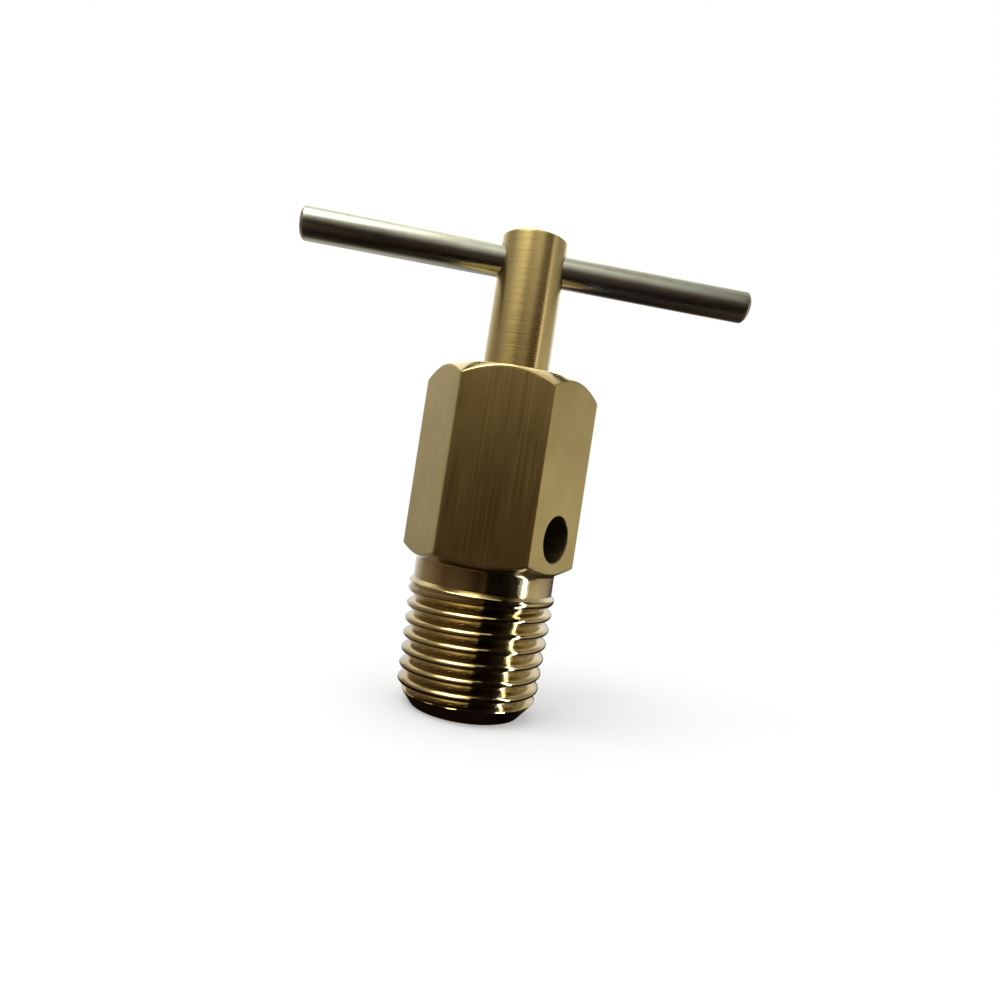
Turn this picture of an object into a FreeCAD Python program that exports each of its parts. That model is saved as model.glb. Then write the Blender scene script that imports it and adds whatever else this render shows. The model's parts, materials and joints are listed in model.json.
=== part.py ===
"""Drain cock with a tapered pipe thread, a hexagon body and a screw-down stem with a tee bar.

Lengths are in millimetres. +Z runs up the stem, and the origin is the centre of the shank's end face.
"""
import FreeCAD, Part
import os
import Sketcher

# Driving dimensions

DIMENSIONS = {
    # Hexagon
    "hex_across_flats": 14.29,
    "hex_length": 18.0,
    "hex_top_face_diameter": 14.0,
    "hex_top_chamfer_angle": 45.0,
    "hex_bottom_chamfer_angle": 30.0,
    # Shank with the taper of the pipe thread, measured over the crests
    "shank_length": 13.7,
    "shank_end_diameter": 13.26,
    "shank_taper": 16.0,
    "end_chamfer_width": 1.4,
    "end_chamfer_height": 1.8,
    "thread_pitch": 1.4111,
    "thread_depth": 0.7,
    "thread_crest_width": 0.28,
    "thread_root_width": 0.28,
    "neck_length": 2.3,
    "neck_diameter": 13.3,
    # Waterway
    "inlet_diameter": 6.4,
    "inlet_point_angle": 118.0,
    "orifice_length": 4.2,
    "port_diameter": 4.25,
    "port_rise": 3.5,
    "port_turn": -30.0,
    "seat_below_port": 0.6,
    "mouth_chamfer": 0.4,
    # Stem
    "stem_diameter": 6.35,
    "stem_clearance": 0.05,
    "stem_standing_height": 13.4,
    "stem_top_chamfer": 0.12,
    "nose_relief": 0.8,
    "nose_above_port": 0.6,
    "cup_wall": 0.35,
    # Seat disc
    "disc_thickness": 1.6,
    "disc_proud": 0.5,
    "disc_clearance": 0.05,
    "seat_overlap": 0.4,
    # Tee bar
    "bar_diameter": 3.175,
    "bar_length": 43.5,
    "bar_below_top": 2.45,
    "bar_end_chamfer": 0.3,
    "bar_clearance": 0.01,
    "handle_turn": 10.0,
}

# Places and radii that follow from the driving dimensions

ORIGIN = "0"
HEX_TOP = "(dims.shank_length + dims.hex_length)"
HEX_CORNER = "(dims.hex_across_flats / 2 / cos(30 deg))"
CUT_RADIUS = "(dims.hex_across_flats)"
HEX_TOP_RADIUS = "(dims.hex_top_face_diameter / 2)"
TOP_CUT_DEPTH = f"(({CUT_RADIUS} - {HEX_TOP_RADIUS}) * tan(dims.hex_top_chamfer_angle * 1 deg))"
NECK_RADIUS = "(dims.neck_diameter / 2)"
BOTTOM_CUT_DEPTH = f"(({CUT_RADIUS} - {NECK_RADIUS}) * tan(dims.hex_bottom_chamfer_angle * 1 deg))"

THREAD_TOP = "(dims.shank_length - dims.neck_length)"
CREST_AT_END = "(dims.shank_end_diameter / 2)"
CREST_AT_CHAMFER = f"({CREST_AT_END} + dims.end_chamfer_height / dims.shank_taper / 2)"
CREST_AT_NECK = f"({CREST_AT_END} + {THREAD_TOP} / dims.shank_taper / 2)"
END_FACE_RADIUS = f"({CREST_AT_END} - dims.end_chamfer_width)"
NECK_FOOT = f"({THREAD_TOP} + {CREST_AT_NECK} - {NECK_RADIUS})"

CREST_AT_START = f"({CREST_AT_END} - dims.thread_pitch / 2 / dims.shank_taper / 2)"
GROOVE_ROOT_HALF = "(dims.thread_root_width / 2)"
GROOVE_CREST_HALF = "((dims.thread_pitch - dims.thread_crest_width) / 2)"
GROOVE_MOUTH_HALF = f"({GROOVE_CREST_HALF} + dims.thread_crest_width / 4)"
FLANK_RUN = f"({GROOVE_CREST_HALF} - {GROOVE_ROOT_HALF})"
GROOVE_PROUD = f"(({GROOVE_MOUTH_HALF} - {GROOVE_CREST_HALF}) * dims.thread_depth / {FLANK_RUN})"
GROOVE_RISE = f"({THREAD_TOP} - {GROOVE_CREST_HALF} + dims.thread_pitch / 2)"

STEM_RADIUS = "(dims.stem_diameter / 2)"
STEM_BORE_RADIUS = f"({STEM_RADIUS} + dims.stem_clearance)"
NOSE_RADIUS = f"({STEM_RADIUS} - dims.nose_relief)"
CUP_RADIUS = f"({NOSE_RADIUS} - dims.cup_wall)"
DISC_RADIUS = f"({CUP_RADIUS} - dims.disc_clearance)"
ORIFICE_RADIUS = f"({DISC_RADIUS} - dims.seat_overlap)"
INLET_RADIUS = "(dims.inlet_diameter / 2)"

PORT_HEIGHT = "(dims.shank_length + dims.port_rise)"
PORT_RADIUS = "(dims.port_diameter / 2)"
SEAT_HEIGHT = f"({PORT_HEIGHT} - {PORT_RADIUS} - dims.seat_below_port)"
ORIFICE_FOOT = f"({SEAT_HEIGHT} - dims.orifice_length)"
INLET_TOP = f"({ORIFICE_FOOT} - ({INLET_RADIUS} - {ORIFICE_RADIUS}) / tan(dims.inlet_point_angle / 2 * 1 deg))"
MOUTH_FOOT = f"({HEX_TOP} - dims.mouth_chamfer)"
MOUTH_RADIUS = f"({STEM_BORE_RADIUS} + dims.mouth_chamfer)"

STEM_TOP = f"({HEX_TOP} + dims.stem_standing_height)"
STEM_TOP_RADIUS = f"({STEM_RADIUS} - dims.stem_top_chamfer)"
STEM_TOP_EDGE = f"({STEM_TOP} - dims.stem_top_chamfer)"
CUP_RIM = f"({SEAT_HEIGHT} + dims.disc_proud)"
CUP_FLOOR = f"({SEAT_HEIGHT} + dims.disc_thickness + dims.disc_clearance)"
NOSE_TOP = f"({PORT_HEIGHT} + {PORT_RADIUS} + dims.nose_above_port)"
NOSE_SHOULDER = f"({NOSE_TOP} + dims.nose_relief)"

BAR_HEIGHT = f"({STEM_TOP} - dims.bar_below_top)"
BAR_RADIUS = "(dims.bar_diameter / 2)"
BAR_HALF = "(dims.bar_length / 2)"
BAR_HOLE_RADIUS = f"({BAR_RADIUS} + dims.bar_clearance)"


# Document and drawing helpers

def dimension_sheet(doc):
    """Write the driving dimensions to a sheet, one named cell each."""
    sheet = doc.addObject("Spreadsheet::Sheet", "dims")
    for row, (name, value) in enumerate(DIMENSIONS.items(), start=1):
        sheet.set(f"A{row}", name)
        sheet.set(f"B{row}", str(value))
        sheet.setAlias(f"B{row}", name)
    doc.recompute()


def new_body(doc, name):
    body = doc.addObject("PartDesign::Body", name)
    body.Label = name
    return body


def turn_about_axis(body, angle):
    """Turn a finished body about the stem axis by an angle from the sheet."""
    body.Placement = FreeCAD.Placement(FreeCAD.Vector(), FreeCAD.Rotation(FreeCAD.Vector(0, 0, 1), 1))
    body.setExpression("Placement.Rotation.Angle", f"{angle} * 1 deg")


def new_sketch(body, name, plane):
    sketch = body.newObject("Sketcher::SketchObject", name)
    origin_plane = [item for item in body.Origin.OriginFeatures if item.Role == plane][0]
    sketch.AttachmentSupport = (origin_plane, [""])
    sketch.MapMode = "FlatFace"
    return sketch


def bind(sketch, constraint, expression):
    """Add a constraint and tie its value to the sheet."""
    index = sketch.addConstraint(constraint)
    sketch.setExpression(f"Constraints[{index}]", expression)


def pin_point(sketch, line, across, up):
    """Place the first point of a line at the given distances from the sketch origin."""
    if across == ORIGIN:
        sketch.addConstraint(Sketcher.Constraint("PointOnObject", line, 1, -2))
    else:
        start = sketch.evalExpression(across)
        bind(sketch, Sketcher.Constraint("DistanceX", -1, 1, line, 1, start), across)
    if up == ORIGIN:
        sketch.addConstraint(Sketcher.Constraint("PointOnObject", line, 1, -1))
    else:
        start = sketch.evalExpression(up)
        bind(sketch, Sketcher.Constraint("DistanceY", -1, 1, line, 1, start), up)


def add_outline(sketch, corners):
    """Draw one closed outline of straight lines through corners given as expressions."""
    first = sketch.GeometryCount
    points = [FreeCAD.Vector(sketch.evalExpression(x), sketch.evalExpression(y), 0) for x, y in corners]
    for start, end in zip(points, points[1:] + points[:1]):
        sketch.addGeometry(Part.LineSegment(start, end))
    for step in range(len(corners)):
        following = (step + 1) % len(corners)
        sketch.addConstraint(Sketcher.Constraint("Coincident", first + step, 2, first + following, 1))
    for step, (across, up) in enumerate(corners):
        pin_point(sketch, first + step, across, up)


def add_circle(sketch, radius, up):
    """Draw a circle centred on the vertical axis of the sketch."""
    centre = FreeCAD.Vector(0, sketch.evalExpression(up), 0)
    size = sketch.evalExpression(radius)
    circle = sketch.addGeometry(Part.Circle(centre, FreeCAD.Vector(0, 0, 1), size))
    bind(sketch, Sketcher.Constraint("Radius", circle, size), radius)
    if up == ORIGIN:
        sketch.addConstraint(Sketcher.Constraint("Coincident", circle, 3, -1, 1))
    else:
        sketch.addConstraint(Sketcher.Constraint("PointOnObject", circle, 3, -2))
        bind(sketch, Sketcher.Constraint("DistanceY", -1, 1, circle, 3, centre.y), up)


def revolve(body, kind, name, outlines):
    """Turn outlines in the XZ plane about the stem axis, as added or removed material."""
    sketch = new_sketch(body, f"{name}_outline", "XZ_Plane")
    for corners in outlines:
        add_outline(sketch, corners)
    feature = body.newObject(f"PartDesign::{kind}", name)
    feature.Profile = sketch
    feature.ReferenceAxis = (sketch, ["V_Axis"])
    feature.Angle = 360
    return feature


# Pieces

def make_hexagon(body):
    """Hexagon prism that stands on the shank, with one flat facing +X."""
    sketch = new_sketch(body, "hexagon_outline", "XY_Plane")
    sketch.setExpression("AttachmentOffset.Base.z", "dims.shank_length")
    radius = sketch.evalExpression(HEX_CORNER)
    turns = [FreeCAD.Rotation(FreeCAD.Vector(0, 0, 1), 60 * side - 30) for side in range(6)]
    corners = [turn.multVec(FreeCAD.Vector(radius, 0, 0)) for turn in turns]
    for start, end in zip(corners, corners[1:] + corners[:1]):
        sketch.addGeometry(Part.LineSegment(start, end))
    corner_circle = sketch.addGeometry(Part.Circle(FreeCAD.Vector(), FreeCAD.Vector(0, 0, 1), radius), True)
    sketch.addConstraint(Sketcher.Constraint("Coincident", corner_circle, 3, -1, 1))
    bind(sketch, Sketcher.Constraint("Radius", corner_circle, radius), HEX_CORNER)
    for side in range(6):
        sketch.addConstraint(Sketcher.Constraint("Coincident", side, 2, (side + 1) % 6, 1))
        sketch.addConstraint(Sketcher.Constraint("PointOnObject", side, 1, corner_circle))
    for side in range(1, 6):
        sketch.addConstraint(Sketcher.Constraint("Equal", 0, side))
    sketch.addConstraint(Sketcher.Constraint("Vertical", 0))
    hexagon = body.newObject("PartDesign::Pad", "hexagon")
    hexagon.Profile = sketch
    hexagon.setExpression("Length", "dims.hex_length")


def make_body_blank(doc):
    """Hexagon, neck and tapered shank before threading, with the waterway and the drain port."""
    body = new_body(doc, "body_blank")
    make_hexagon(body)
    revolve(body, "Groove", "hexagon_chamfers", [
        [
            (HEX_TOP_RADIUS, HEX_TOP),
            (CUT_RADIUS, f"{HEX_TOP} - {TOP_CUT_DEPTH}"),
            (CUT_RADIUS, HEX_TOP),
        ],
        [
            (NECK_RADIUS, "dims.shank_length"),
            (CUT_RADIUS, "dims.shank_length"),
            (CUT_RADIUS, f"dims.shank_length + {BOTTOM_CUT_DEPTH}"),
        ],
    ])
    revolve(body, "Revolution", "shank", [[
        (ORIGIN, ORIGIN),
        (END_FACE_RADIUS, ORIGIN),
        (CREST_AT_CHAMFER, "dims.end_chamfer_height"),
        (CREST_AT_NECK, THREAD_TOP),
        (NECK_RADIUS, NECK_FOOT),
        (NECK_RADIUS, "dims.shank_length"),
        (ORIGIN, "dims.shank_length"),
    ]])
    revolve(body, "Groove", "waterway", [[
        (ORIGIN, ORIGIN),
        (INLET_RADIUS, ORIGIN),
        (INLET_RADIUS, INLET_TOP),
        (ORIFICE_RADIUS, ORIFICE_FOOT),
        (ORIFICE_RADIUS, SEAT_HEIGHT),
        (STEM_BORE_RADIUS, SEAT_HEIGHT),
        (STEM_BORE_RADIUS, MOUTH_FOOT),
        (MOUTH_RADIUS, HEX_TOP),
        (ORIGIN, HEX_TOP),
    ]])
    sketch = new_sketch(body, "drain_port_outline", "YZ_Plane")
    add_circle(sketch, PORT_RADIUS, PORT_HEIGHT)
    port = body.newObject("PartDesign::Pocket", "drain_port")
    port.Profile = sketch
    port.Reversed = True
    port.setExpression("Length", "dims.hex_across_flats")
    turn_about_axis(body, "dims.port_turn")
    return body


def make_thread_groove(doc):
    """Right-hand groove of the pipe thread, which starts clear of the end face and rises along the crests."""
    path = doc.addObject("Part::Helix", "thread_path")
    path.setExpression("Pitch", "dims.thread_pitch")
    path.setExpression("Height", GROOVE_RISE)
    path.setExpression("Radius", CREST_AT_START)
    path.setExpression("Angle", "atan(1 / dims.shank_taper / 2)")
    path.setExpression("Placement.Base.z", "-dims.thread_pitch / 2")
    path.SegmentLength = 0
    section = doc.addObject("Sketcher::SketchObject", "thread_section")
    section.Placement = FreeCAD.Placement(FreeCAD.Vector(), FreeCAD.Rotation(FreeCAD.Vector(1, 0, 0), 90))
    section.setExpression("Placement.Base.z", "-dims.thread_pitch")
    add_outline(section, [
        (f"{CREST_AT_START} - dims.thread_depth", f"dims.thread_pitch / 2 - {GROOVE_ROOT_HALF}"),
        (f"{CREST_AT_START} + {GROOVE_PROUD}", f"dims.thread_pitch / 2 - {GROOVE_MOUTH_HALF}"),
        (f"{CREST_AT_START} + {GROOVE_PROUD}", f"dims.thread_pitch / 2 + {GROOVE_MOUTH_HALF}"),
        (f"{CREST_AT_START} - dims.thread_depth", f"dims.thread_pitch / 2 + {GROOVE_ROOT_HALF}"),
    ])
    groove = doc.addObject("Part::Sweep", "thread_groove")
    groove.Sections = [section]
    groove.Spine = (path, ["Edge1"])
    groove.Solid = True
    groove.Frenet = True
    return groove


def make_body(doc):
    """The blank with the pipe thread cut into its shank."""
    blank = make_body_blank(doc)
    groove = make_thread_groove(doc)
    body = doc.addObject("Part::Cut", "body")
    body.Base = blank
    body.Tool = groove
    doc.recompute()
    if not body.Shape.Volume < blank.Shape.Volume:
        raise RuntimeError("the thread groove cuts nothing")
    return body


def make_stem(doc):
    """Stem rod with its chamfered top, reduced nose, disc cup and the cross hole for the bar."""
    stem = new_body(doc, "stem")
    revolve(stem, "Revolution", "rod", [[
        (ORIGIN, CUP_FLOOR),
        (CUP_RADIUS, CUP_FLOOR),
        (CUP_RADIUS, CUP_RIM),
        (NOSE_RADIUS, CUP_RIM),
        (NOSE_RADIUS, NOSE_TOP),
        (STEM_RADIUS, NOSE_SHOULDER),
        (STEM_RADIUS, STEM_TOP_EDGE),
        (STEM_TOP_RADIUS, STEM_TOP),
        (ORIGIN, STEM_TOP),
    ]])
    sketch = new_sketch(stem, "cross_hole_outline", "YZ_Plane")
    add_circle(sketch, BAR_HOLE_RADIUS, BAR_HEIGHT)
    cross_hole = stem.newObject("PartDesign::Pocket", "cross_hole")
    cross_hole.Profile = sketch
    cross_hole.Midplane = True
    cross_hole.setExpression("Length", "dims.stem_diameter * 2")
    turn_about_axis(stem, "dims.handle_turn")
    return stem


def make_tee_bar(doc):
    """Round bar with chamfered ends, turned about its own axis."""
    tee_bar = new_body(doc, "tee_bar")
    sketch = new_sketch(tee_bar, "bar_outline", "XZ_Plane")
    sketch.setExpression("AttachmentOffset.Base.y", BAR_HEIGHT)
    add_outline(sketch, [
        (ORIGIN, ORIGIN),
        (BAR_HALF, ORIGIN),
        (BAR_HALF, f"{BAR_RADIUS} - dims.bar_end_chamfer"),
        (f"{BAR_HALF} - dims.bar_end_chamfer", BAR_RADIUS),
        (ORIGIN, BAR_RADIUS),
    ])
    half_bar = tee_bar.newObject("PartDesign::Revolution", "half_bar")
    half_bar.Profile = sketch
    half_bar.ReferenceAxis = (sketch, ["H_Axis"])
    half_bar.Angle = 360
    whole_bar = tee_bar.newObject("PartDesign::Mirrored", "whole_bar")
    whole_bar.Originals = [half_bar]
    whole_bar.MirrorPlane = (sketch, ["V_Axis"])
    tee_bar.Tip = whole_bar
    turn_about_axis(tee_bar, "dims.handle_turn")
    return tee_bar


def make_seat_disc(doc):
    """Soft disc that lies on the seat when the cock is shut."""
    seat_disc = new_body(doc, "seat_disc")
    sketch = new_sketch(seat_disc, "disc_outline", "XY_Plane")
    sketch.setExpression("AttachmentOffset.Base.z", SEAT_HEIGHT)
    add_circle(sketch, DISC_RADIUS, ORIGIN)
    disc = seat_disc.newObject("PartDesign::Pad", "disc")
    disc.Profile = sketch
    disc.setExpression("Length", "dims.disc_thickness")
    return seat_disc


def write_parts(doc, pieces):
    """Check every object and piece, then write one file for each piece."""
    failed = [item.Label for item in doc.Objects if "Invalid" in item.State or "Error" in item.State]
    bad = [piece.Label for piece in pieces if piece.Shape.isNull() or not piece.Shape.isValid()]
    if failed or bad:
        raise RuntimeError(f"failed objects {failed}, bad shapes {bad}")
    os.makedirs("parts", exist_ok=True)
    for piece in pieces:
        piece.Shape.exportStep(f"parts/{piece.Label}.step")
        print(piece.Label, "volume", round(piece.Shape.Volume, 3), "solids", len(piece.Shape.Solids))


def main():
    doc = FreeCAD.newDocument("drain_cock")
    dimension_sheet(doc)
    makers = (make_body, make_stem, make_tee_bar, make_seat_disc)
    pieces = [make(doc) for make in makers]
    doc.recompute()
    write_parts(doc, pieces)


main()
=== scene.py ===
"""Looks of a brass drain cock: hexagon body on a tapered pipe thread, screw-down stem, tee bar and seat disc.

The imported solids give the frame. The body, stem, tee bar and disc are modelled again on those sizes with cut
threads, eased edges and drilled holes, and each gets the finish of its own metal or rubber.
"""

import json
from math import atan2, cos, pi, radians, sin, sqrt, tan

import bmesh
import bpy
from mathutils import Matrix, Vector


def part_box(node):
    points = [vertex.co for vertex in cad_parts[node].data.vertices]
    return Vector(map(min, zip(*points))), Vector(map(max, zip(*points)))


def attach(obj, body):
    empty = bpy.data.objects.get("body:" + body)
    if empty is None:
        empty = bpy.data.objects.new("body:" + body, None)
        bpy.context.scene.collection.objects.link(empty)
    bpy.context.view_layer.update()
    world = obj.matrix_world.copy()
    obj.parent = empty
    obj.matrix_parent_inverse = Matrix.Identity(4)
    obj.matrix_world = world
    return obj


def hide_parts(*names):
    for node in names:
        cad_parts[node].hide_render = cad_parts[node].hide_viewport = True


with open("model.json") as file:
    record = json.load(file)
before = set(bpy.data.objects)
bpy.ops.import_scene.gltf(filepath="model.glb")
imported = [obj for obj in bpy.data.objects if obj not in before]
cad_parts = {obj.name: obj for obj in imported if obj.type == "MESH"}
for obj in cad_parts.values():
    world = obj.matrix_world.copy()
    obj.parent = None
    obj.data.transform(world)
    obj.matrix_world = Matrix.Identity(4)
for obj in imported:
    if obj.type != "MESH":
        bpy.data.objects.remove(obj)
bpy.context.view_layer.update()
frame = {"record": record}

MM = 0.001

# Sizes that the frame gives, in metres
MOUNTS = {mount["name"]: mount for mount in frame["record"]["mounts"]}
BODY_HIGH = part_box("body")[1]
STEM_LOW, STEM_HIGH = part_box("stem")
BAR_LOW, BAR_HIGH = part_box("tee_bar")
DISC_LOW, DISC_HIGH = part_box("seat_disc")
FLAT_RADIUS = BODY_HIGH.y
HEX_TOP = BODY_HIGH.z
STEM_RADIUS = STEM_HIGH.x
STEM_TOP = STEM_HIGH.z
BAR_HEIGHT = (BAR_LOW.z + BAR_HIGH.z) / 2
BAR_RADIUS = (BAR_HIGH.z - BAR_LOW.z) / 2
DISC_RADIUS = DISC_HIGH.x
INLET_RADIUS = MOUNTS["inlet_bore"]["dims"]["r_mm"] * MM
INLET_DEPTH = MOUNTS["inlet_bore"]["dims"]["length_mm"] * MM
PORT_RADIUS = MOUNTS["drain_port"]["dims"]["r_mm"] * MM
PORT_HEIGHT = MOUNTS["drain_port"]["pos_m"][2]
PORT_AXIS = Vector(MOUNTS["drain_port"]["axis"])

# Body sizes, the same as the solid's apart from the rounding of the hexagon's upright corners
HEX_BOTTOM = 13.7 * MM
HEX_TOP_RADIUS = 7.0 * MM
HEX_BOTTOM_SLOPE = tan(radians(30))
HEX_SIDES = 6
SIDE_ANGLE = 2 * pi / HEX_SIDES
HALF_SIDE = SIDE_ANGLE / 2
HEX_CORNER_ROUND = 0.25 * MM
ROUND_CENTRE = (FLAT_RADIUS - HEX_CORNER_ROUND) / cos(HALF_SIDE)
ROUND_END = HALF_SIDE - atan2(ROUND_CENTRE * sin(HALF_SIDE), FLAT_RADIUS)
NECK_RADIUS = 6.65 * MM
SHANK_END_RADIUS = 5.23 * MM
THREAD_END_RADIUS = 6.63 * MM
THREAD_TAPER = 1 / 32
THREAD_LENGTH = 11.4 * MM
END_CHAMFER_HEIGHT = 1.8 * MM
END_CHAMFER_SLOPE = (THREAD_END_RADIUS - SHANK_END_RADIUS) / END_CHAMFER_HEIGHT + THREAD_TAPER
ORIFICE_RADIUS = 1.575 * MM
ORIFICE_BOTTOM = 10.275 * MM
SEAT_HEIGHT = DISC_LOW.z
STEM_BORE_RADIUS = 3.225 * MM
MOUTH_CHAMFER = 0.4 * MM

# Pipe thread, 18 threads to the inch, right-handed
PIPE_PITCH = 25.4 / 18 * MM
PIPE_DEPTH = 0.7 * MM
PIPE_RUN_OUT = 0.9 * MM
PIPE_START = 0.02 * MM

# Stem sizes, and its screw thread of 20 threads to the inch
NOSE_RADIUS = 2.375 * MM
NOSE_TOP = 19.925 * MM
CUP_RADIUS = 2.025 * MM
CUP_TOP = 16.125 * MM
STEM_CHAMFER = 0.12 * MM
SCREW_PITCH = 25.4 / 20 * MM
SCREW_DEPTH = 0.72 * MM
SCREW_TOP = 27.5 * MM
SCREW_RUN_OUT = 0.6 * MM
CROSS_HOLE_RADIUS = 1.5975 * MM

# Tee bar
BAR_LENGTH = 43.5 * MM
BAR_TURN = radians(10)
BAR_END_CHAMFER = 0.3 * MM

# Fineness of the meshes: rows, columns, steps in an eased corner, and the angle of a crisp edge
THREAD_ROW = 0.05 * MM
FLAT_COLUMNS = 20
DRILL_COLUMNS = 72
STEM_COLUMNS = 120
BAR_COLUMNS = 96
DISC_COLUMNS = 72
EASE_STEPS = 3
CRISP_ANGLE = radians(32)

# Camera, fitted to the photograph: place, aim and lens for a square picture
CAMERA_TURN = radians(4.033)
CAMERA_DISTANCE = 66.705 * MM
CAMERA_HEIGHT = 19.789 * MM
CAMERA_YAW = radians(-0.358)
CAMERA_PITCH = radians(0.207)
CAMERA_ROLL = radians(8.779)
CAMERA_LENS = 25.036
CAMERA_CLIP = 1 * MM

# Floor: pale near the axis, where it takes the shadow, and plain white further out
FLOOR_HALF = 2.0
FLOOR_TONE = (0.85, 0.85, 0.85, 1)
SHADOW_NEAR = 8 * MM
SHADOW_FAR = 120 * MM
SHADOW_SHARE = 0.75

# Key softbox: angles in degrees, power in watts
KEY_AZIMUTH = -48
KEY_ELEVATION = 58
KEY_DISTANCE = 250 * MM
KEY_SIZE = (140 * MM, 100 * MM)
KEY_POWER = 0.26
KEY_AIM = Vector((0, 0, 22 * MM))

# Cards: brown while dim, and their own tint from the full level up. Steps are the blends between neighbours.
DIM_TINT = (1.0, 0.63, 0.48)
WHITE_TINT = (1.0, 1.0, 1.0)
FULL_TINT_LEVEL = 0.5
STATION_STEPS = 6
ROW_STEPS = 5

# Studio tent: light levels at these elevations, for each azimuth round the object, in degrees
TENT_RADIUS = 300 * MM
FLOOR_CARD_HEIGHT = 0.02 * MM
TENT_ELEVATIONS = (-76, -66, -50, -30, -20, -10, 0, 8, 22, 37, 53, 70, 88)
TENT_STATIONS = [
    (-180, (0.02, 0.05, 0.20, 0.30, 0.40, 0.60, 0.80, 1.00, 1.40, 3.00, 3.20, 3.20, 2.20)),
    (-150, (0.02, 0.05, 0.35, 0.75, 1.10, 0.90, 0.80, 1.00, 1.40, 2.00, 2.20, 2.20, 2.20)),
    (-128, (0.02, 0.03, 0.10, 0.50, 0.75, 0.62, 0.70, 0.72, 0.76, 1.60, 1.60, 1.60, 2.20)),
    (-113, (0.02, 0.03, 0.05, 0.12, 0.32, 0.45, 0.60, 0.64, 0.68, 1.30, 1.30, 1.50, 2.20)),
    (-108, (0.02, 0.03, 0.04, 0.10, 0.30, 0.37, 0.26, 0.40, 0.47, 0.50, 0.70, 1.40, 2.20)),
    (-90, (0.01, 0.02, 0.03, 0.08, 0.24, 0.34, 0.22, 0.39, 0.46, 0.50, 0.70, 1.40, 2.20)),
    (-76, (0.01, 0.01, 0.02, 0.05, 0.14, 0.26, 0.19, 0.29, 0.44, 0.60, 1.20, 1.80, 2.20)),
    (-60, (0.01, 0.01, 0.02, 0.03, 0.08, 0.15, 0.12, 0.24, 0.56, 0.90, 2.20, 3.60, 2.40)),
    (-37, (0.01, 0.01, 0.02, 0.02, 0.08, 0.18, 0.09, 0.24, 0.60, 1.70, 4.00, 5.20, 2.40)),
    (-22, (0.01, 0.01, 0.02, 0.02, 0.07, 0.15, 0.07, 0.17, 0.44, 2.20, 6.00, 6.00, 2.40)),
    (-10, (0.01, 0.01, 0.02, 0.02, 0.03, 0.07, 0.05, 0.12, 0.33, 1.15, 5.60, 6.00, 2.40)),
    (-4, (0.01, 0.01, 0.01, 0.01, 0.02, 0.05, 0.04, 0.10, 0.34, 0.70, 2.20, 2.60, 2.20)),
    (0, (0.01, 0.01, 0.01, 0.01, 0.02, 0.05, 0.04, 0.11, 0.38, 0.78, 1.80, 2.00, 1.80)),
    (8, (0.01, 0.01, 0.02, 0.02, 0.04, 0.10, 0.06, 0.15, 0.52, 1.08, 1.80, 1.40, 1.40)),
    (20, (0.01, 0.01, 0.02, 0.02, 0.05, 0.10, 0.16, 0.23, 0.60, 1.30, 2.00, 1.00, 1.00)),
    (30, (0.01, 0.01, 0.02, 0.02, 0.05, 0.09, 0.15, 0.20, 0.60, 1.25, 1.70, 0.90, 0.90)),
    (40, (0.005, 0.005, 0.01, 0.01, 0.02, 0.04, 0.07, 0.10, 0.28, 0.50, 0.90, 1.00, 1.00)),
    (64, (0.005, 0.005, 0.01, 0.01, 0.02, 0.04, 0.07, 0.10, 0.13, 0.17, 0.30, 0.80, 1.00)),
    (69, (0.01, 0.01, 0.02, 0.02, 0.04, 0.08, 0.12, 0.16, 0.20, 0.25, 0.40, 0.80, 1.80)),
    (70, (0.01, 0.01, 0.02, 0.05, 0.10, 0.60, 2.20, 2.20, 1.10, 0.80, 0.80, 1.00, 1.80)),
    (76, (0.01, 0.01, 0.02, 0.05, 0.10, 0.60, 2.20, 2.20, 1.10, 0.80, 0.80, 1.00, 1.80)),
    (78, (0.02, 0.02, 0.03, 0.06, 0.15, 0.90, 0.55, 0.60, 0.60, 0.60, 0.60, 0.80, 1.80)),
    (100, (0.02, 0.02, 0.03, 0.08, 0.20, 1.10, 0.90, 0.66, 0.38, 0.40, 0.50, 0.80, 2.00)),
    (130, (0.02, 0.03, 0.03, 0.04, 0.08, 0.50, 0.88, 0.68, 0.44, 0.50, 0.80, 1.20, 2.20)),
    (150, (0.02, 0.02, 0.02, 0.02, 0.03, 0.12, 0.60, 1.00, 1.40, 2.00, 2.20, 2.20, 2.20)),
    (172, (0.02, 0.02, 0.02, 0.02, 0.03, 0.10, 0.60, 1.00, 1.40, 3.00, 3.20, 3.20, 2.20)),
    (180, (0.02, 0.05, 0.20, 0.30, 0.40, 0.60, 0.80, 1.00, 1.40, 3.00, 3.20, 3.20, 2.20)),
]

# Low cards close to the thread: profiles of (reach, height) points, and light levels at them by azimuth

# Dim reflector at the left, which lights the thread's flanks
REFLECTOR_PROFILE = ((16.0 * MM, 0.8 * MM), (16.0 * MM, 8.0 * MM))
REFLECTOR_STATIONS = [
    (-110, (0.35, 0.35)),
    (-70, (0.3, 0.3)),
    (-30, (0.22, 0.22)),
    (-4, (0.18, 0.18)),
    (6, (0.08, 0.08)),
]

# Black flag for the thread's dark band, ending in a bright strip that only the thread's front mirrors.
# The strip's grid fades it between two values of the +Y part of the direction that it shines in.
FLAG_PROFILE = (
    (16.0 * MM, 0.1 * MM),
    (16.0 * MM, 9.5 * MM),
    (13.0 * MM, 12.4 * MM),
    (9.4 * MM, 13.5 * MM),
)
FLAG_STATIONS = [
    (8, (0.01, 0.01, 0.01, 0.01)),
    (57.5, (0.01, 0.01, 0.01, 0.01)),
    (58, (45.0, 45.0, 45.0, 0.01)),
    (59.4, (45.0, 45.0, 45.0, 0.01)),
]
STRIP_TINT = (1.0, 1.2, 2.2)
STRIP_GRID = (0.5, 0.65)

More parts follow.
